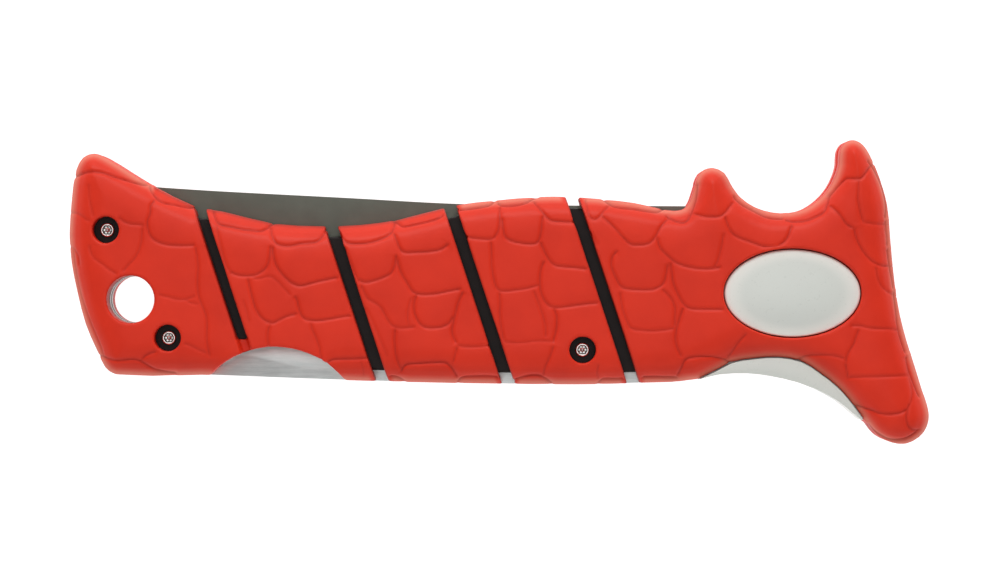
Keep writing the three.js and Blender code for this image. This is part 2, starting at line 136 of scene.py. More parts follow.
# The lines between the rubber's scales, pad by pad: a strength, then the points that a curve follows.
BUTT_LINES = [
    (1, [(-187.5, 29.8), (-185, 30.6), (-182.3, 31.4), (-178.8, 31.3), (-176, 30.2), (-173, 29.4),
          (-170, 28.6), (-166.4, 28)]),
    (0.45, [(-182.2, 28.8), (-181.8, 24), (-181, 21), (-180.8, 19)]),
    (0.5, [(-188, 21), (-184.8, 20.6), (-182.5, 18.8), (-181, 18.6)]),
    (0.6, [(-174.6, 20), (-173.2, 18.6), (-171.4, 17.8), (-168.6, 17.7), (-167, 17.4)]),
    (0.9, [(-166.8, 28.4), (-165.7, 26), (-164.6, 24.4), (-163, 23.3), (-159.7, 22.9), (-156, 22.2),
          (-154, 22.4)]),
    (0.8, [(-164.8, 24.4), (-166.2, 22.6), (-166, 20.6), (-167, 18.6), (-166.6, 15.8), (-165.4, 13.8),
          (-162.8, 12.6), (-159, 12.2), (-154, 12.4)]),
    (0.55, [(-168.2, 17.6), (-168.2, 14.6), (-168.8, 11.2), (-170.2, 8.8), (-172, 7), (-173.6, 5)]),
    (0.5, [(-182, 12.8), (-181.2, 9.6), (-179.6, 8.2), (-178, 7.2), (-177, 6.2), (-174.2, 4.6)]),
    (0.6, [(-188.5, 12.8), (-186, 11.2), (-184.9, 9.6), (-184.7, 6.4)]),
    (0.6, [(-186.6, 12), (-185.6, 4), (-184.4, -1), (-182.6, -6), (-180.4, -11), (-179, -14.5),
          (-178.6, -17)]),
    (0.5, [(-164.4, -0.4), (-161.6, -0.9), (-159, -1.7), (-156.4, -1.6), (-154, -0.4)]),
    (0.4, [(-157.4, -1.6), (-155.6, -2.6), (-153, -2.8)]),
    (0.6, [(-154.6, 12.4), (-153.6, 8), (-153.9, 3), (-153.7, -0.6), (-152.8, -3), (-151.6, -5.6),
          (-151.4, -9), (-151.6, -12), (-150.6, -17)]),
    (0.9, [(-181.5, -15.8), (-178.4, -16.6), (-176.6, -17.3), (-174, -17.4), (-171, -17.1), (-169, -17.3),
          (-167.4, -18.4), (-165.6, -19.6), (-163, -20.5), (-159, -20.9)]),
    (0.8, [(-168.8, -17.4), (-167.2, -16), (-165.8, -15.4), (-164, -15)]),
    (0.5, [(-158, -12.8), (-156, -13.4), (-154.6, -14.2), (-151, -15.8)]),
    (1, [(-150.2, 22), (-149, 18.2), (-147.6, 17.4), (-145.2, 17.1), (-143.4, 16.6), (-140, 16.2),
          (-137.6, 16), (-136.2, 16.7), (-135.2, 17.7), (-133.4, 19)]),
    (0.9, [(-135.2, 18), (-134.8, 15), (-133.8, 12.9), (-132, 12.2), (-129.5, 12.2), (-127.6, 12.8),
          (-124.6, 13), (-123, 13.2), (-121.8, 14.4), (-120.4, 17)]),
    (0.5, [(-149.2, 18.2), (-148.2, 13), (-147, 8.6), (-146, 6), (-144.6, 4.9)]),
    (0.8, [(-146.2, 5.8), (-144, 4.7), (-141.6, 4.4), (-139, 4.6), (-137.4, 5.4), (-136, 6.6),
          (-135.3, 8.6), (-135, 12.8)]),
    (0.9, [(-134.6, 12.6), (-134.2, 9), (-133.4, 6.8), (-131.8, 4.6), (-130, 2.8), (-128.6, 2.1),
          (-127, 1.8), (-125, 2.4), (-121.8, 3.2), (-117, 4.2)]),
    (0.45, [(-140.2, 4.2), (-138, 3.6), (-135.2, 4.6), (-133, 3), (-131, 0.6), (-129.4, -1)]),
    (0.8, [(-141, 4.2), (-140.2, 0.6), (-139.6, -1.6), (-138.8, -4.4), (-137.4, -6.4), (-136, -7.4),
          (-134.4, -7.8), (-132.8, -7), (-131, -6), (-127.6, -5.2)]),
    (0.35, [(-142.2, -1), (-141.4, -4), (-140.4, -8)]),
    (0.8, [(-129.4, -0.6), (-128.2, -1.4), (-127.7, -4), (-127, -6), (-125.6, -7), (-123, -7.2),
          (-120, -6.8), (-117, -6.2), (-113.6, -5.8)]),
    (0.55, [(-134.8, -7.6), (-135.6, -9.4), (-135.8, -11.6), (-135.4, -15)]),
    (0.55, [(-124.8, -7), (-124.2, -9.6), (-123, -12), (-122.2, -14.6), (-121.8, -18)]),
    (0.9, [(-121, -18.6), (-119.4, -17.2), (-117, -17), (-114, -17), (-109.4, -16.8)]),
    (0.35, [(-112, -16.8), (-111.2, -19), (-111, -22)]),
]
MIDDLE_LINES = [
    (0.9, [(-118, 16.6), (-116.2, 13.4), (-114.6, 12.8), (-112, 12.7), (-109.4, 13), (-107, 13.7),
          (-104.8, 14.7), (-103.4, 15.9), (-102.9, 19.4)]),
    (1, [(-104, 19), (-102, 18.2), (-101.2, 17.3), (-100, 17.3), (-97.5, 17.8), (-94.1, 18.6), (-92, 19.2),
          (-89.8, 20.6)]),
    (0.9, [(-103.4, 16), (-102.4, 13.6), (-101.6, 11.4), (-100.6, 10.4), (-98, 10.5), (-94, 10.7),
          (-90.8, 11.2), (-88.6, 13)]),
    (0.6, [(-116.2, 12.6), (-114, 7), (-113, 4.4), (-112, 3)]),
    (0.85, [(-113, 4), (-111.2, 2.8), (-109.6, 2.8), (-107.6, 3.4), (-105.4, 4.2), (-103.9, 5), (-103, 6.6),
          (-102.4, 10.4)]),
    (0.85, [(-102.5, 9.8), (-101.9, 7), (-101, 4.6), (-99.4, 2.2), (-98.4, 0.4), (-97, -0.3), (-95, -0.4),
          (-92, -0.2), (-89.6, 0.4), (-85.2, 1.2)]),
    (0.6, [(-111.8, 2.6), (-110.6, -0.4), (-109.6, -1.8), (-107.8, -2.6), (-106.4, -3.8), (-105.2, -6),
          (-104, -8), (-102.8, -8.9), (-100.6, -9.1), (-97, -8.6)]),
    (0.35, [(-111, -3), (-109, -6.6), (-107.6, -10), (-106.2, -13), (-104.6, -17)]),
    (0.8, [(-97.2, 0), (-97.9, -2.2), (-98, -4.4), (-97.2, -6.8), (-96.2, -8.2), (-94.6, -9), (-92, -9),
          (-89.8, -8.5), (-88.6, -7.6), (-87.6, -5.6)]),
    (0.8, [(-85, 0.8), (-86.6, -2.6), (-87.1, -5), (-87.8, -7.6), (-88.2, -10), (-87.6, -11.8),
          (-86.6, -13.6)]),
    (0.4, [(-98.4, -0.6), (-99.4, -3.6), (-99.6, -6.4), (-99, -9)]),
    (0.8, [(-102.8, -8.8), (-103, -12), (-102.8, -15), (-102.3, -17.6), (-101, -20.2)]),
    (1, [(-101.6, -21), (-100.6, -18.8), (-99.4, -18.3), (-97, -18.2), (-94, -18), (-91, -17.9),
          (-89.6, -18), (-88.6, -18.9), (-87.6, -20.2), (-86.6, -22.4)]),
    (0.9, [(-105, -21.6), (-103, -21.7), (-101.8, -22.1), (-99.8, -23.4)]),
    (0.6, [(-87.2, -13.2), (-85, -13.9), (-82, -13.9), (-79.6, -13.7), (-76.8, -13.2)]),
    (0.6, [(-86.6, -13.4), (-87.3, -15.8), (-88, -18.6)]),
    (1, [(-87, -23.8), (-86, -22.2), (-84.6, -21.7), (-82, -21.6), (-79, -21.5), (-75.4, -21.9)]),
    (1, [(-87.6, 21.6), (-84.6, 21.9), (-82, 22.2), (-80, 22.6), (-78, 23.1), (-76.4, 25)]),
    (1, [(-76.8, 24.2), (-75.6, 22.8), (-73.6, 22.6), (-71, 22.9), (-69.4, 23.4), (-67.6, 24.4),
          (-65, 25.6)]),
    (0.8, [(-75.8, 23), (-75.7, 19.6), (-75.9, 17), (-76.4, 15.4), (-77.4, 14), (-79, 13.9), (-82, 14.1),
          (-86, 14.8)]),
    (0.85, [(-75.2, 20), (-74.8, 15.8), (-74.2, 14.2), (-72.4, 13.3), (-69.6, 12.8), (-67.4, 12.6),
          (-66, 13), (-65.4, 14.2), (-65, 16.6), (-64.6, 20.6)]),
    (0.9, [(-67.4, 24.4), (-65.6, 22), (-64.4, 20.6), (-63.2, 19.2), (-62.2, 18.6), (-60, 18.5),
          (-57.6, 18.3), (-55.6, 18.6)]),
    (0.85, [(-65.6, 13.8), (-64.3, 11), (-63.4, 9.2), (-62.4, 7.8), (-61.2, 7), (-59, 6.8), (-56.6, 6.6),
          (-52.6, 6.2)]),
    (0.7, [(-78.2, 14), (-77.8, 10), (-77.9, 7), (-77.4, 4), (-76.8, 1.8), (-76, 0.6), (-74.2, 0.5),
          (-71.6, 0.8), (-68.8, 1.2), (-65, 2.2)]),
    (0.8, [(-64, 8.8), (-65, 6.8), (-65.4, 4.4), (-65.4, 1.6), (-64.9, -0.6), (-63.9, -2.4), (-62.8, -3.5),
          (-61, -3.8), (-58.4, -3.5), (-55, -3), (-49.6, -2.4)]),
    (0.6, [(-76, 0.8), (-75.6, -2.6), (-75.8, -5), (-75.6, -7.4), (-75.3, -9.6), (-74.6, -13)]),
    (0.45, [(-75.4, -12.4), (-72, -12.9), (-69, -12.8), (-66, -12.2), (-61.6, -12.6)]),
    (0.5, [(-67.2, 1.2), (-65.4, -3.4), (-64.6, -5.8), (-63.9, -8.6), (-63.8, -12)]),
    (0.8, [(-62, -3.4), (-60.9, -6), (-61, -8.4), (-61.4, -10.6), (-62.2, -13.4)]),
    (0.7, [(-61.8, -13.2), (-62.4, -15.6), (-63.2, -17.4), (-64, -19), (-64.6, -21.8)]),
    (1, [(-73, -23), (-70.4, -22), (-68.6, -21.4), (-66.6, -21.2), (-65.2, -21.4), (-64, -22.2),
          (-61.6, -24)]),
    (0.6, [(-50, -18), (-50.7, -20.4), (-50, -22.8)]),
    (0.9, [(-50.8, -24), (-49.2, -22.4), (-48, -22.3), (-45.8, -22.4), (-43, -22.2)]),
]
HEAD_LINES = [
    (0.7, [(-53.6, 25), (-52.9, 20.6), (-52.3, 19.4), (-51.2, 18.9), (-50, 19.6), (-49.2, 20.8),
          (-47, 23.4)]),
    (1, [(-49.6, 25), (-46.8, 22.8), (-45, 22.2), (-42, 22), (-39, 21.6), (-36, 21.2), (-34.4, 21.2),
          (-32, 23)]),
    (0.8, [(-49.8, 20.4), (-47.4, 18.2), (-46, 16.8), (-44.6, 15.2), (-43, 13.4), (-41.8, 12.5),
          (-40, 12.4), (-38, 12.5), (-36.6, 13.2), (-35.6, 14.4), (-34.8, 16), (-33.8, 17.6),
          (-31.8, 19.8)]),
    (0.4, [(-53, 16.4), (-51.2, 14), (-50.2, 11.6)]),
    (0.8, [(-44.8, 11.2), (-46.4, 10), (-47, 8.2), (-46.8, 6.4), (-46, 4.6), (-45.2, 2.8), (-44.4, 1.6),
          (-43, 1.1), (-41, 0.9), (-38, 0.8), (-36.2, 0.9), (-34.8, 1.4), (-33.4, 2.4), (-32.8, 4.4),
          (-32.2, 8)]),
    (0.85, [(-35.2, 15), (-34.6, 12.2), (-33.8, 11), (-32.4, 9.7), (-30.8, 8.2), (-29, 7.3), (-26.4, 6.6),
          (-24, 6.3), (-21.6, 6.2), (-18, 6.8)]),
    (1, [(-33.2, 20.4), (-31, 18.9), (-29.4, 18.3), (-28, 18.2), (-27, 18.8), (-26.3, 20.4), (-25.8, 22.2),
          (-25.1, 24.6), (-24.6, 29)]),
    (0.9, [(-26.2, 20.8), (-23, 19.8), (-21, 19.7), (-19.2, 19.7), (-18, 20.3), (-17, 21.4), (-15, 24)]),
    (0.85, [(-17.8, 20.4), (-16.6, 17), (-15.6, 15.3), (-14.2, 14.4), (-12, 13.6), (-9.5, 12.7), (-7.4, 12),
          (-5.4, 11.9), (-3.6, 12.2), (-2.2, 13.2), (-1, 14.9), (0, 18.2)]),
    (1, [(-15.4, 25.6), (-13.4, 23.4), (-11.6, 22.4), (-9.6, 21.4), (-8, 20.5), (-6.4, 19.7), (-4.8, 19.4),
          (-1.6, 19.4)]),
    (1, [(-2.4, 19.4), (-0.4, 18.5), (2, 18.5), (4, 18.8), (5.6, 19.6), (7.2, 20.2), (8.4, 21.2), (9, 22.8),
          (9.8, 26.4)]),
    (0.85, [(9.2, 23), (11.4, 21.2), (12.4, 20), (13.4, 18.4), (14.4, 17.3), (16.4, 16.6)]),
    (1, [(8.6, 24.2), (10.4, 26.4), (12.4, 28.4), (14, 29.8), (15.2, 29.6), (16.6, 29.5), (17.8, 29.7),
          (19, 31.2), (20.4, 32.8), (23, 35)]),
    (0.7, [(17, 30), (17, 26.8), (16.8, 24.2), (17.2, 22.2), (17.6, 20.6), (18.4, 17.6)]),
    (0.6, [(17.6, 18.6), (20, 18), (22.4, 17.8), (26, 17.8)]),
    (0.85, [(15.6, 17.4), (16.4, 14.2), (17.2, 12.4), (18.2, 10.8), (19.4, 9.2), (20.8, 8), (22.4, 7.2),
          (24, 7), (27, 7)]),
    (0.6, [(21.4, 7.4), (22, 3.8), (22.8, 2), (24, 0.8), (25.4, 0), (28.4, -1.4)]),
    (0.7, [(14.4, -8.4), (17.4, -8.4), (19.6, -9), (22, -9.2), (25, -9.2), (29, -9.8)]),
    (0.7, [(17.2, -8.8), (16.1, -12.2), (15.4, -13.8), (14.2, -15.6), (13.5, -18.6)]),
    (0.7, [(1, -17.8), (3.2, -16.4), (5.2, -16), (8, -16), (11, -16.2), (14, -17.2)]),
    (0.7, [(13.5, -17.6), (14, -20), (14.6, -23)]),
    (0.7, [(14, -21.8), (17, -21.7), (20, -21.6), (23, -21.6), (31, -21.2)]),
    (0.7, [(-11.6, -10.2), (-13.8, -12.4), (-14.8, -14), (-17, -17.4)]),
    (0.6, [(-17.8, 16), (-18.4, 12.2), (-19, 9.8), (-19.6, 7.6), (-21, 6)]),
    (0.8, [(-31.6, 8.4), (-31.1, 3.2), (-30.3, 1), (-29.3, -1.2), (-28.2, -2.9), (-27, -3.9), (-25, -4.2),
          (-22, -4.2), (-17, -4.2)]),
    (0.8, [(-28.2, -3.4), (-29.4, -7), (-30, -9), (-30.4, -11.6), (-30, -14), (-28.4, -17)]),
    (0.9, [(-30, -22), (-28.6, -19), (-28, -17.4), (-26.8, -16.7), (-24, -16.4), (-21, -16.4),
          (-18.8, -16.8), (-17.2, -17.4), (-15, -18.8)]),
    (1, [(-39.4, -21.9), (-36, -21.8), (-33, -21.9), (-29, -22.1)]),
    (0.6, [(-44.7, 0.8), (-44.3, -3), (-43.6, -5.6), (-42.4, -8.4), (-41.6, -9.3), (-39, -9.7), (-36, -9.8),
          (-33.6, -9.6), (-30, -9)]),
    (0.7, [(-34.2, 1.4), (-32, -0.6), (-30.9, -2.2), (-30.4, -4), (-30.5, -6), (-30.6, -9.4)]),
    (0.9, [(15.8, -29), (18.6, -29.9), (20.4, -30.3), (22, -31), (24, -31.4), (26.6, -31.3), (28.4, -30.8),
          (30.2, -29.6)]),
    (0.8, [(30.4, -28), (29.4, -31), (29.4, -33), (30, -34.8), (31.4, -35.6), (33.8, -35.4)]),
    (0.6, [(29.6, -16), (29.8, -20), (30.6, -23), (31.2, -26), (30.2, -29.4)]),
    (1, [(19, -33.4), (21.4, -36), (23.2, -37.2), (25, -38.1), (27, -38.3), (29, -38), (30.8, -37.2),
          (33.2, -35.2)]),
    (1, [(19.4, 35), (21.4, 32.4), (22.4, 30.4), (23.4, 28.2), (24, 26.2), (24.5, 24), (24.7, 21.4),
          (24.3, 18.6)]),
    (0.9, [(24.4, 19.4), (24.6, 16.4), (25, 14), (25, 11.4)]),
    (1, [(24.9, 12.2), (25.3, 8.6), (25.8, 5.6), (26.4, 2.6), (26.6, 0.4)]),
    (1, [(26.5, 1), (26.9, -2), (27.3, -5), (27.5, -8), (27.9, -10.6), (28.8, -13.4), (29.9, -16.2)]),
    (1, [(29.6, -15.8), (30.1, -19.4), (31, -22), (32, -24.4), (33.6, -27.6)]),
]

# ---------------------------------------------------------------- mesh helpers


def mesh_object(name, vertices, faces, smooth=True):
    mesh = bpy.data.meshes.new(name)
    mesh.from_pydata([tuple(v) for v in vertices], [], [tuple(int(i) for i in f) for f in faces])
    mesh.validate()
    made = bpy.data.objects.new(name, mesh)
    bpy.context.scene.collection.objects.link(made)
    if smooth:
        mesh.shade_smooth()
    return made


def copy_of(node, name):
    """A new object with a copy of a CAD node's mesh, welded and with no materials."""
    mesh = NODES[node].data.copy()
    mesh.name = name
    mesh.materials.clear()
    made = bpy.data.objects.new(name, mesh)
    bpy.context.scene.collection.objects.link(made)
    welded = bmesh.new()
    welded.from_mesh(mesh)
    bmesh.ops.remove_doubles(welded, verts=welded.verts, dist=1e-6)
    welded.to_mesh(mesh)
    welded.free()
    for layer in list(mesh.attributes):
        if layer.name in ("custom_normal", "sharp_edge", "sharp_face"):
            mesh.attributes.remove(layer)
    return made


def settle(made):
    """Replaces an object's mesh with what its modifiers make of it."""
    graph = bpy.context.evaluated_depsgraph_get()
    mesh = bpy.data.meshes.new_from_object(made.evaluated_get(graph))
    made.modifiers.clear()
    made.data = mesh
    return made


def positions(mesh):
    found = np.empty(len(mesh.vertices) * 3)
    mesh.vertices.foreach_get("co", found)
    return found.reshape(-1, 3)


def normals(mesh):
    found = np.empty(len(mesh.vertices) * 3)
    mesh.vertex_normals.foreach_get("vector", found)
    return found.reshape(-1, 3)


def edges(mesh):
    found = np.empty(len(mesh.edges) * 2, dtype=np.int64)
    mesh.edges.foreach_get("vertices", found)
    return found.reshape(-1, 2)


def place(mesh, points):
    mesh.vertices.foreach_set("co", np.ascontiguousarray(points, dtype=np.float32).ravel())
    mesh.update()


def ramp(values, low, high):
    t = np.clip((values - low) / (high - low), 0, 1)
    return t * t * (3 - 2 * t)


def bevelled(node, name, width, segments=2, prepare=None):
    """A copy of a CAD node with its sharp edges rounded off, after a change to its mesh if one is given."""
    made = copy_of(node, name)
    if prepare:
        prepare(made.data)
    bevel = made.modifiers.new("bevel", "BEVEL")
    bevel.width = width * MM
    bevel.segments = segments
    bevel.limit_method = "ANGLE"
    bevel.angle_limit = math.radians(28)
    bevel.use_clamp_overlap = True
    bevel.harden_normals = False
    settle(made)
    made.data.shade_smooth()
    made.data.set_sharp_from_angle(angle=math.radians(34))
    return made


# ---------------------------------------------------------------- materials


def new_material(name):
    made = bpy.data.materials.new(name)
    made.use_nodes = True
    tree = made.node_tree
    shader = tree.nodes["Principled BSDF"]
    return made, tree, shader


def add_node(tree, kind, **settings):
    made = tree.nodes.new(kind)
    for key, value in settings.items():
        if key in made.inputs:
            made.inputs[key].default_value = value
        else:
            setattr(made, key, value)
    return made


def object_point(tree, scale=(1, 1, 1)):
    """The point on the object, in millimetres, stretched by scale."""
    source = add_node(tree, "ShaderNodeTexCoord")
    mapping = add_node(tree, "ShaderNodeMapping")
    mapping.inputs["Scale"].default_value = tuple(s / MM for s in scale)
    tree.links.new(source.outputs["Object"], mapping.inputs["Vector"])
    return mapping.outputs["Vector"]


def noise(tree, point, scale, detail=3.0, roughness=0.55):
    made = add_node(tree, "ShaderNodeTexNoise", Scale=scale, Detail=detail, Roughness=roughness)
    tree.links.new(point, made.inputs["Vector"])
    return made.outputs["Fac"]


def blend_colours(tree, factor, first, second):
    made = add_node(tree, "ShaderNodeMix", data_type="RGBA")
    made.inputs[6].default_value = (*first, 1)
    made.inputs[7].default_value = (*second, 1)
    tree.links.new(factor, made.inputs[0])
    return made.outputs[2]


def remap(tree, value, low, high, from_low=0.3, from_high=0.7):
    made = add_node(tree, "ShaderNodeMapRange")
    made.inputs["From Min"].default_value = from_low
    made.inputs["From Max"].default_value = from_high
    made.inputs["To Min"].default_value = low
    made.inputs["To Max"].default_value = high
    tree.links.new(value, made.inputs["Value"])
    return made.outputs["Result"]


def bump(tree, height, strength, distance, under=None):
    made = add_node(tree, "ShaderNodeBump", Strength=strength, Distance=distance * MM)
    tree.links.new(height, made.inputs["Height"])
    if under is not None:
        tree.links.new(under, made.inputs["Normal"])
    return made.outputs["Normal"]


def mottled(name, light, dark, mottle_scale, roughness, grain, grain_bump, metallic=0.0, specular=0.5):
    """A moulded or coated surface: cloudy colour, uneven gloss, and a fine grain."""
    made, tree, shader = new_material(name)
    point = object_point(tree)
    clouds = noise(tree, point, mottle_scale)
    fine = noise(tree, point, grain, detail=2.0)
    link = tree.links.new
    link(blend_colours(tree, remap(tree, clouds, 0, 1), dark, light), shader.inputs["Base Color"])
    link(remap(tree, fine, roughness[0], roughness[1]), shader.inputs["Roughness"])
    link(bump(tree, fine, 0.35, grain_bump), shader.inputs["Normal"])
    shader.inputs["Metallic"].default_value = metallic
    shader.inputs["Specular IOR Level"].default_value = specular
    return made


def brushed(name, light, dark, stretch, roughness, metallic=1.0):
    """Metal with fine scratches that run one way."""
    made, tree, shader = new_material(name)
    scratches = noise(tree, object_point(tree, stretch), 1.0, detail=5.0, roughness=0.7)
    clouds = noise(tree, object_point(tree), 0.12)
    mixed = add_node(tree, "ShaderNodeMath", operation="MULTIPLY")
    link = tree.links.new
    link(remap(tree, scratches, 0.25, 1), mixed.inputs[0])
    link(remap(tree, clouds, 0.6, 1), mixed.inputs[1])
    link(blend_colours(tree, mixed.outputs[0], dark, light), shader.inputs["Base Color"])
    link(remap(tree, scratches, roughness[0], roughness[1]), shader.inputs["Roughness"])
    link(bump(tree, scratches, 0.25, 0.02), shader.inputs["Normal"])
    shader.inputs["Metallic"].default_value = metallic
    return made


def tint_by(material, attribute, tint, share):
    """Mixes a tint into the colour, by a value that the mesh holds at each of its points."""
    tree = material.node_tree
    shader = tree.nodes["Principled BSDF"]
    colour = shader.inputs["Base Color"].links[0].from_socket
    value = add_node(tree, "ShaderNodeAttribute", attribute_name=attribute)
    mixed = add_node(tree, "ShaderNodeMix", data_type="RGBA")
    tree.links.new(remap(tree, value.outputs["Fac"], 0, share, 0, 1), mixed.inputs[0])
    tree.links.new(colour, mixed.inputs[6])
    mixed.inputs[7].default_value = (*tint, 1)
    tree.links.new(mixed.outputs[2], shader.inputs["Base Color"])


def keep_at_points(mesh, attribute, values):
    """Stores one number for each of the mesh's points, for tint_by to use."""
    mesh.attributes.new(attribute, "FLOAT", "POINT").data.foreach_set("value", values)


RUBBER = mottled("red_rubber", (0.76, 0.029, 0.007), (0.69, 0.024, 0.0055), 0.09, (0.48, 0.6), 2.6, 0.04,
                 specular=0.25)
# painted highlight: a paler rim along the rubber's outline
tint_by(RUBBER, "painted_highlight", (0.85, 0.42, 0.3), 0.5)
# painted shade: a darker colour along the lines between the scales
tint_by(RUBBER, "painted_shading", (0.3, 0.01, 0.005), 0.5)
tint_by(RUBBER, "shade", (0.012, 0.006, 0.006), 0.95)
RUBBER_SHADER = RUBBER.node_tree.nodes["Principled BSDF"]
RUBBER_SHADER.inputs["Coat Weight"].default_value = 0.08
RUBBER_SHADER.inputs["Coat Roughness"].default_value = 0.3
CORE = mottled("black_core", (0.016, 0.0095, 0.009), (0.01, 0.006, 0.0055), 0.3, (0.34, 0.46), 3.5, 0.02,
               specular=0.2)
WHITE = mottled("white_plastic", (0.7, 0.72, 0.67), (0.67, 0.69, 0.645), 0.05, (0.27, 0.31), 1.2, 0.002)
# painted highlight: the badge gets paler towards its rim
tint_by(WHITE, "painted_shading", (0.9, 0.89, 0.83), 1)
COATING = mottled("blade_coating", (0.13, 0.14, 0.113), (0.11, 0.12, 0.096), 0.15, (0.4, 0.5), 5.0, 0.02,
                  metallic=0.35)
STEEL = brushed("brushed_steel", (0.95, 1.0, 0.99), (0.6, 0.66, 0.65), (0.12, 1.1, 1.1), (0.3, 0.42),
                metallic=0.75)
LINER = brushed("liner_steel", (0.7, 0.7, 0.68), (0.5, 0.5, 0.48), (0.2, 4.0, 4.0), (0.25, 0.4), metallic=0.8)
SCREW = brushed("screw_steel", (1.0, 0.98, 0.95), (0.88, 0.86, 0.83), (2.0, 2.0, 9.0), (0.12, 0.2),
                metallic=0.95)
# painted shade: darker in the screw's socket and at the foot of its head
tint_by(SCREW, "painted_shading", (0.03, 0.025, 0.022), 0.95)
SPRING = brushed("spring_steel", (0.4, 0.42, 0.45), (0.25, 0.27, 0.3), (0.4, 4.0, 4.0), (0.2, 0.35))
BRONZE = brushed("washer_bronze", (0.62, 0.42, 0.2), (0.42, 0.27, 0.12), (3.0, 3.0, 3.0), (0.25, 0.4))
BARE_EDGE = brushed("ground_steel", (0.9, 0.92, 0.92), (0.66, 0.68, 0.68), (6.0, 0.6, 2.0), (0.25, 0.4),
                    metallic=0.5)


def dress(made, material, slot_name, body, *replaced):
    """Gives a finished piece its material and its body, and hides the CAD nodes that it stands for; its slot name
    is not used.
    """
    made.data.materials.append(material)
    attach(made, body)
    if replaced:
        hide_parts(*replaced)
    return made


def carry(node, material):
    """Keeps a CAD node, with a better material."""
    NODES[node].data.materials.clear()
    NODES[node].data.materials.append(material)


# ---------------------------------------------------------------- rubber


def outline_segments(pieces, ring_height):
    """The outline in plan of some front pieces, as pairs of points: their edges at one height."""
    level = MID_Z + ring_height * MM
    pairs = []
    for name in pieces:
        mesh = NODES[f"front_{name}"].data
        co = positions(mesh)
        ring = np.abs(co[:, 2] - level) < 0.02 * MM
        ends = edges(mesh)
        kept = ends[ring[ends[:, 0]] & ring[ends[:, 1]]]
        pairs.append(np.stack([co[kept[:, 0], :2], co[kept[:, 1], :2]], axis=1))
    return np.concatenate(pairs) / MM


def distance_to_segments(points, segments):
    nearest = np.full(len(points), FAR)
    for a, b in segments:
        run = b - a
        length = run @ run
        if length < 1e-9:
            continue
        t = np.clip(((points - a) @ run) / length, 0, 1)
        nearest = np.minimum(nearest, np.hypot(*(points - a - t[:, None] * run).T))
    return nearest


def rounded_line(points):
    """The points of a line with its corners cut twice, so that it bends smoothly."""
    line = np.array(points, dtype=float)
    for _ in range(2):
        near = 0.75 * line[:-1] + 0.25 * line[1:]
        far = 0.25 * line[:-1] + 0.75 * line[1:]
        middle = np.stack([near, far], axis=1).reshape(-1, 2)
        line = np.concatenate([line[:1], middle[1:-1], line[-1:]])
    return line


def carving(plan):
    """How deep the lines between scales cut in at each point in plan, and how much painted shade darkens them."""
    depth = np.zeros(len(plan))
    painted_shading = np.zeros(len(plan))
    reach = 4 * PILLOW_REACH
    for strength, points in BUTT_LINES + MIDDLE_LINES + HEAD_LINES:
        line = rounded_line(points)
        low, high = line.min(axis=0) - reach, line.max(axis=0) + reach
        near = np.flatnonzero(((plan > low) & (plan < high)).all(axis=1))
        if not len(near):
            continue
        lengths = np.linalg.norm(np.diff(line, axis=0), axis=1)
        starts = np.concatenate([[0], np.cumsum(lengths)])
        distance = np.full(len(near), FAR)
        along = np.zeros(len(near))
        for i, length in enumerate(lengths):
            run = (line[i + 1] - line[i]) / length
            offset = plan[near] - line[i]
            t = np.clip(offset @ run, 0, length)
            away = np.hypot(*(offset - t[:, None] * run).T)
            closer = away < distance
            distance[closer] = away[closer]
            along[closer] = starts[i] + t[closer]
        fade = strength * ramp(along, 0, LINE_FADE) * ramp(starts[-1] - along, 0, LINE_FADE)
        line_cut = LINE_DEPTH * np.exp(-(distance / LINE_WIDTH) ** 2)
        cut = line_cut + PILLOW_RISE * np.exp(-distance / PILLOW_REACH)
        depth[near] = np.maximum(depth[near], fade * cut)
        # painted shade along each line
        painted_shading[near] = np.maximum(painted_shading[near], fade * np.exp(-(distance / PAINTED_LINE_SHADE_WIDTH) ** 2))
    return depth, painted_shading


def soften(points, ends, weight, passes):
    """Laplacian smoothing, by as much as each point's weight."""
    count = np.bincount(ends.ravel(), minlength=len(points))[:, None]
    for _ in range(passes):
        total = np.stack([np.bincount(ends[:, 0], points[ends[:, 1], axis], len(points))
                          + np.bincount(ends[:, 1], points[ends[:, 0], axis], len(points))
                          for axis in range(3)], axis=1)
        points = points + 0.5 * weight[:, None] * (total / count - points)
    return points


def groove_distance(plan):
    """How far each point in plan is from the nearest groove's wall."""
    nearest = np.full(len(plan), FAR)
    for i in range(GROOVE_COUNT):
        half = (GROOVE_FIRST_WIDTH if i == 0 else GROOVE_WIDTH) / 2
        centre = GROOVE_FIRST + i * GROOVE_PITCH - GROOVE_LEAN * plan[:, 1]
        away = np.abs(np.abs(plan[:, 0] - centre) - half)
        if i == 0:  # this one ends at the bridge, so points below it count as far away
            away = away + 9 * ramp(-plan[:, 1], 1.4 - BRIDGE_TOP, 2.5 - BRIDGE_TOP)
        nearest = np.minimum(nearest, away)
    return nearest


def over_blade(plan):
    """1 along the side that the closed blade stands out of."""
    start, end, low = BLADE_SIDE
    between = ramp(plan[:, 0], start, start + 1) * ramp(-plan[:, 0], -end, 1 - end)
    return between * ramp(plan[:, 1], low, low + 1)


def edge_shade(plan, inside, height):
    """Darkness along the grooves' walls, and along the rounded edge that stands over the blade."""
    groove = np.exp(-(groove_distance(plan) / SHADE_WIDTH) ** 2)
    rounded = ramp(height, EDGE_RING - 1, EDGE_RING + 0.5)
    rim = np.exp(-(inside / RIM_SHADE_WIDTH) ** 2) * over_blade(plan) * rounded
    return EDGE_SHADE * np.maximum(groove, rim)


def painted_edge_highlight(plan, inside):
    """Painted highlight: paleness along the rubber's outline, but not at the grooves or beside the blade."""
    rim = np.exp(-(inside / PAINTED_HIGHLIGHT_WIDTH) ** 2)
    return rim * ramp(groove_distance(plan), 0.5, 2) * (1 - over_blade(plan))


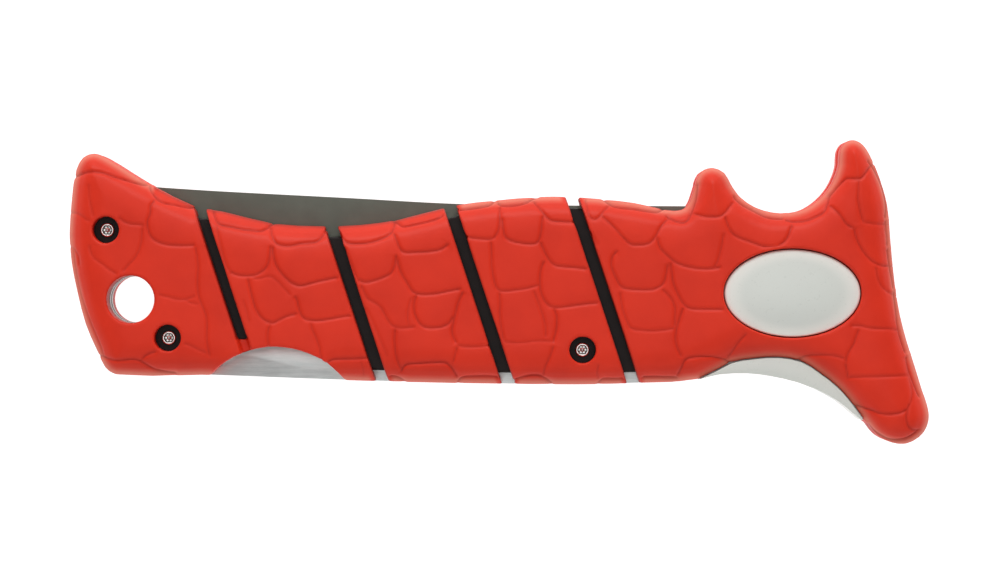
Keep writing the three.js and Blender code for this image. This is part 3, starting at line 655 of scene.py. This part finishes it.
def groove_bridge(plan):
    """1 on the rubber that closes the first groove's lower end, which lies lower than the scales."""
    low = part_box("front_grip_butt")[0].y / MM
    centre = GROOVE_FIRST - GROOVE_LEAN * plan[:, 1]
    across = 1 - ramp(np.abs(plan[:, 0] - centre), 1.1, 1.6)
    return across * ramp(plan[:, 1], low, low + 1) * (1 - ramp(plan[:, 1], BRIDGE_TOP - 1, BRIDGE_TOP))


SEGMENTS = outline_segments(PAD_NAMES, EDGE_RING)


def rubber_pad(pad):
    """A front pad: the CAD solid with softened edges, a crowned face and moulded scales."""
    made = copy_of(f"front_{pad}", f"front_{pad}_rubber")
    remesh = made.modifiers.new("remesh", "REMESH")
    remesh.mode = "VOXEL"
    remesh.voxel_size = VOXEL * MM
    settle(made)
    mesh = made.data
    points = positions(mesh) / MM
    ends = edges(mesh)
    height = points[:, 2] - MID_Z / MM
    core = (CORE_TOP - MID_Z) / MM
    face = (TOP_Z - MID_Z) / MM
    inside = distance_to_segments(points[:, :2], SEGMENTS)
    upper = ramp(height, core + 0.3, core + 1.6)
    outer = np.maximum(upper, 1 - ramp(inside, 0.8, 1.6))
    beside_groove = 1 - ramp(groove_distance(points[:, :2]), 0, CORNER_REACH)
    corner = (1 - ramp(inside, 0, CORNER_REACH)) * beside_groove * upper
    points = soften(points, ends, outer, SOFTEN_PASSES)
    points = soften(points, ends, corner, CORNER_PASSES)
    place(mesh, points * MM)
    facing = normals(mesh)
    plan = points[:, :2]
    crown = CROWN_DROP * (1 - ramp(inside, 0, CROWN_REACH)) ** 1.4
    crown += EDGE_ROLL_DROP * (1 - np.clip(inside / EDGE_ROLL, 0, 1)) ** 2
    lift = (height - core) / (face - core)
    points[:, 2] -= crown * np.clip(lift, 0, 1) * upper
    points[:, 2] -= BRIDGE_DROP * groove_bridge(plan) * ramp(height, core + 2, face - 1)

    carve, painted_shading = carving(plan)
    carve *= 0.5 + 0.5 * ramp(inside, 0, 1.5)
    from_badge = np.hypot(*(plan / BADGE_OVAL).T)
    from_hole = np.hypot(*(plan - HOLE_CENTRE).T)
    quiet = ramp(from_badge, 1.0, 1.08) * ramp(from_hole, HOLE_RADIUS + 0.2, HOLE_RADIUS + 1.6)
    for centre in SCREW_PLACES.values():
        far = np.hypot(plan[:, 0] - centre.x / MM, plan[:, 1] - centre.y / MM)
        quiet *= ramp(far, WELL_RADIUS + 0.2, WELL_RADIUS + 1.2)
    points -= facing * (carve * outer * quiet)[:, None]
    place(mesh, points * MM)
    # painted shade along the lines between the scales
    keep_at_points(mesh, "painted_shading", painted_shading * outer * quiet)
    keep_at_points(mesh, "shade", edge_shade(plan, inside, height))
    # painted highlight along the rubber's outline
    keep_at_points(mesh, "painted_highlight", painted_edge_highlight(plan, inside) * ramp(height, core + 2, core + 5))
    mesh.shade_smooth()
    return made


def mirrored(made, name):
    """The same piece on the other side of the mid-plane."""
    mesh = made.data.copy()
    mesh.name = name
    mesh.transform(Matrix.Translation((0, 0, 2 * MID_Z)) @ Matrix.Diagonal((1, 1, -1, 1)))
    mesh.flip_normals()
    twin = bpy.data.objects.new(name, mesh)
    bpy.context.scene.collection.objects.link(twin)
    return twin


for pad in PAD_NAMES:
    front = rubber_pad(pad)
    rear = mirrored(front, f"rear_{pad}_rubber")
    for side, made in (("front", front), ("rear", rear)):
        dress(made, RUBBER, "grip_rubber", "frame", f"{side}_{pad}")

# ---------------------------------------------------------------- badges, core, thumb rest


def badge():
    """The oval over the pivot: a shallow dome with a rounded rim, its outer part painted paler as a highlight."""
    half_length = (BADGE_HIGH.x - BADGE_LOW.x) / 2
    half_height = (BADGE_HIGH.y - BADGE_LOW.y) / 2
    rim_drop = BADGE_DROP * MM
    rounding_drop = BADGE_ROUNDING * MM
    sides = 160
    rings = [(1.0, BADGE_LOW.z), (1.0, TOP_Z - rim_drop - rounding_drop)]
    rounding = [(1 - 0.045 * (1 - math.cos(a)), rim_drop + rounding_drop * (1 - math.sin(a)))
                for a in (0.25, 0.55, 0.85, 1.15, 1.4)]
    rings += [(scale, TOP_Z - drop) for scale, drop in rounding]
    start = rings[-1][0]
    for i in range(1, 18):
        scale = start * (1 - i / 18)
        rings.append((scale, TOP_Z - rim_drop * (scale / start) ** 2))
    turns = [2 * math.pi * i / sides for i in range(sides)]
    vertices = [(scale * half_length * math.cos(a), scale * half_height * math.sin(a), z)
                for scale, z in rings for a in turns]
    faces = []
    for ring in range(len(rings) - 1):
        for i in range(sides):
            j = (i + 1) % sides
            low, high = ring * sides, (ring + 1) * sides
            faces.append((low + i, low + j, high + j, high + i))
    vertices.append((0, 0, TOP_Z))
    last = (len(rings) - 1) * sides
    faces += [(last + i, last + (i + 1) % sides, len(vertices) - 1) for i in range(sides)]
    faces.append(tuple(range(sides - 1, -1, -1)))
    made = mesh_object("front_badge_dome", vertices, faces)
    # painted highlight: paler towards the rim
    pale = [max(0, (scale - BADGE_HIGHLIGHT_FROM) / (1 - BADGE_HIGHLIGHT_FROM)) for scale, _ in rings for _ in turns]
    keep_at_points(made.data, "painted_shading", pale + [0])
    return made


def core_rim():
    """The edge of the core's outer face, without the edges of its screw holes."""
    shape = bmesh.new()
    shape.from_mesh(NODES["front_core"].data)
    pairs = []
    for edge in shape.edges:
        tilts = [abs(face.normal.z) for face in edge.link_faces]
        a, b = (vertex.co for vertex in edge.verts)
        clear = min((a.xy - centre.xy).length for centre in SCREW_PLACES.values()) > 4 * MM
        if min(tilts) < 0.5 < max(tilts) and a.z > CORE_TOP - 0.1 * MM and clear:
            pairs.append([a.xy / MM, b.xy / MM])
    shape.free()
    return np.array(pairs)


def moulded_core():
    """The front core with its outer edge rolled over."""
    made = copy_of("front_core", "front_core_moulding")
    remesh = made.modifiers.new("remesh", "REMESH")
    remesh.mode = "VOXEL"
    remesh.voxel_size = CORE_VOXEL * MM
    settle(made)
    mesh = made.data
    points = positions(mesh) / MM
    height = points[:, 2] - MID_Z / MM
    inside = distance_to_segments(points[:, :2], core_rim())
    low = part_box("front_core")[0].z / MM - MID_Z / MM
    lift = np.clip((height - low) / ((CORE_TOP - MID_Z) / MM - low), 0, 1)
    far_out = ramp(np.abs(points[:, 1]), 6, 10)
    points[:, 2] -= CORE_ROLL_DROP * (1 - ramp(inside, 0, CORE_ROLL)) * lift * far_out
    points = soften(points, edges(mesh), np.full(len(points), 0.5), 2)
    place(mesh, points * MM)
    mesh.shade_smooth()
    return made


core_front = moulded_core()
made_cores = {"front": core_front, "rear": mirrored(core_front, "rear_core_moulding")}
front = badge()
rear = mirrored(front, "rear_badge_dome")
for side, made in (("front", front), ("rear", rear)):
    dress(made, WHITE, "white_plastic", "frame", f"{side}_badge")
    dress(made_cores[side], CORE, "black_core", "frame", f"{side}_core")
dress(bevelled("thumb_rest", "thumb_rest_moulding", 0.5, 3), WHITE, "white_plastic", "frame", "thumb_rest")
dress(bevelled("butt_spacer", "butt_spacer_moulding", 0.15), CORE, "black_core", "frame", "butt_spacer")

# ---------------------------------------------------------------- metal

dress(bevelled("lock_bar", "lock_bar_ground", 0.25), STEEL, "brushed_steel", "lock_bar", "lock_bar")


def mark_ground_edge(mesh):
    """Cuts a strip along the cutting edge, and gives it the second material."""
    shape = bmesh.new()
    shape.from_mesh(mesh)
    rim = {v for v in shape.verts if abs(v.co.z - MID_Z) < EDGE_HALF * MM and v.co.x < BLADE_HEEL * MM}
    segments = np.array([[v.co.xy / MM for v in edge.verts] for edge in shape.edges
                         if all(v in rim for v in edge.verts)])
    cuts = {}
    for edge in list(shape.edges):
        if (edge.verts[0] in rim) == (edge.verts[1] in rim):
            continue
        near, far = edge.verts if edge.verts[0] in rim else reversed(edge.verts)
        across = distance_to_segments(np.array([far.co.xy / MM]), segments)[0]
        if across > GROUND_EDGE:
            cuts[edge] = (near, GROUND_EDGE / across)
    added = {bmesh.utils.edge_split(edge, near, share)[1] for edge, (near, share) in cuts.items()}
    for face in list(shape.faces):
        met = [v for v in face.verts if v in added]
        if len(met) == 2:
            bmesh.utils.face_split(face, met[0], met[1])
    for face in shape.faces:
        on_rim = [v in rim for v in face.verts]
        face.material_index = int(any(on_rim) and all(v in rim or v in added for v in face.verts))
    shape.to_mesh(mesh)
    shape.free()


blade = bevelled("blade", "blade_ground", 0.1, prepare=mark_ground_edge)
dress(blade, COATING, "blade_coating", "blade", "blade")
blade.data.materials.append(BARE_EDGE)


def screw_head(name, centre):
    """A button head with a six-lobed socket, and its shank. The socket's walls and corners, and the foot of the
    head, are darkened with painted shade.
    """
    sides = 96
    top = CORE_TOP / MM + SCREW_RISE
    seat = CORE_TOP / MM + 0.05
    rings = [  # radius, height, lobe depth, share of painted shade
        (1.0, seat - 4, 0, 0), (1.0, seat, 0, 0), (1.88, seat, 0, 0.6), (1.88, top - 0.6, 0, 0.3),
        (1.83, top - 0.35, 0, 0), (1.72, top - 0.15, 0, 0), (1.58, top - 0.03, 0, 0), (1.45, top, 0, 0),
        (1.3, top - 0.02, 0.03, 0), (1.2, top - 0.12, 0.09, 0.7), (1.12, top - 0.3, 0.12, 1),
        (1.1, top - 0.8, 0.12, 1), (0.95, top - 0.82, 0.12, 0.9), (0.7, top - 0.74, 0.05, 0.25),
        (0.45, top - 0.86, 0, 0), (0.2, top - 0.98, 0, 0.5)]
    turns = [2 * math.pi * i / sides for i in range(sides)]
    vertices, dark = [], []
    for radius, z, lobe, painted_shade_share in rings:
        for a in turns:
            r = radius * (1 + lobe * math.cos(6 * a)) * MM
            vertices.append((centre.x + r * math.cos(a), centre.y + r * math.sin(a), z * MM))
            dark.append(painted_shade_share)
    faces = [(ring * sides + i, ring * sides + (i + 1) % sides, (ring + 1) * sides + (i + 1) % sides,
              (ring + 1) * sides + i) for ring in range(len(rings) - 1) for i in range(sides)]
    faces.append(tuple(range(sides - 1, -1, -1)))
    faces.append(tuple((len(rings) - 1) * sides + i for i in range(sides)))
    made = mesh_object(name, vertices, faces)
    # painted shade in the socket and at the foot of the head
    keep_at_points(made.data, "painted_shading", dark)
    made.data.set_sharp_from_angle(angle=math.radians(50))
    return made


for screw, centre in SCREW_PLACES.items():
    front = screw_head(f"front_{screw}_screw_turned", centre)
    rear = mirrored(front, f"rear_{screw}_screw_turned")
    for side, made in (("front", front), ("rear", rear)):
        dress(made, SCREW, "screw_steel", "frame", f"{side}_{screw}_screw")

for side in ("front", "rear"):
    carry(f"{side}_liner", LINER)
    carry(f"{side}_pivot_washer", BRONZE)
    carry(f"{side}_pivot_screw", SCREW)
for node in ("pivot_pin", "upper_standoff", "lower_standoff", "lock_bar_pin"):
    carry(node, SCREW)

spring = bevelled("lock_spring", "lock_spring_leaf", 0.08)
spring.data.materials.append(SPRING)
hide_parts("lock_spring")
spring_low, spring_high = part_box("lock_spring")
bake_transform(spring, "frame", "lock_bar", start=(spring_low.x + 6 * MM, 0, MID_Z), end=(spring_high.x, 0, MID_Z))

# ---------------------------------------------------------------- floor, light, camera


def floor():
    """A pale table, lit a little from below as a light box is."""
    size = FLOOR_SIZE
    made = mesh_object("floor", [(-size, -size, 0), (size, -size, 0), (size, size, 0), (-size, size, 0)],
                       [(0, 1, 2, 3)], smooth=False)
    material, tree, shader = new_material("pale_floor")
    shade = remap(tree, noise(tree, object_point(tree), 0.01), 0.22, 0.25)
    combined = add_node(tree, "ShaderNodeCombineColor")
    for channel in ("Red", "Green", "Blue"):
        tree.links.new(shade, combined.inputs[channel])
    tree.links.new(combined.outputs["Color"], shader.inputs["Base Color"])
    shader.inputs["Roughness"].default_value = 0.9
    shader.inputs["Emission Color"].default_value = (1, 1, 1, 1)
    shader.inputs["Emission Strength"].default_value = FLOOR_GLOW
    made.data.materials.append(material)


def area_light(name, at, target, size, power):
    data = bpy.data.lights.new(name, "AREA")
    data.shape = "RECTANGLE"
    data.size, data.size_y = size
    data.energy = power
    made = bpy.data.objects.new(name, data)
    made.location = at
    made.rotation_euler = (Vector(target) - Vector(at)).to_track_quat("-Z", "Y").to_euler()
    bpy.context.scene.collection.objects.link(made)


def camera():
    """Straight above the knife's side, with the handle's length across the picture."""
    made = bpy.data.objects.new("camera", bpy.data.cameras.new("camera"))
    made.data.lens = 140
    made.data.sensor_width = 36
    made.data.clip_start = 0.05
    made.location = CAMERA_AT
    bpy.context.scene.collection.objects.link(made)
    bpy.context.scene.camera = made


def studio_world():
    """A pale surround that is brighter round the sides than overhead."""
    made = bpy.data.worlds.new("studio")
    made.use_nodes = True
    tree = made.node_tree
    background = tree.nodes["Background"]
    source = add_node(tree, "ShaderNodeTexCoord")
    split = add_node(tree, "ShaderNodeSeparateXYZ")
    tree.links.new(source.outputs["Generated"], split.inputs["Vector"])
    strength = remap(tree, split.outputs["Z"], *WORLD_SIDES_AND_TOP, 0.25, 0.6)
    tree.links.new(strength, background.inputs["Strength"])
    background.inputs["Color"].default_value = (1, 1, 1, 1)
    bpy.context.scene.world = made


floor()
camera()
studio_world()
area_light("key", (-0.1, 0.85, 0.75), (-0.07, 0, 0), (1.0, 0.45), 7.8)
area_light("overhead", (-0.08, 0.1, 1.3), (-0.08, 0, 0), (0.6, 0.6), 1.6)
area_light("fill", (-0.1, -0.7, 0.9), (-0.07, 0, 0), (1.2, 0.5), 1.6)
bpy.context.scene.view_settings.view_transform = "Standard"
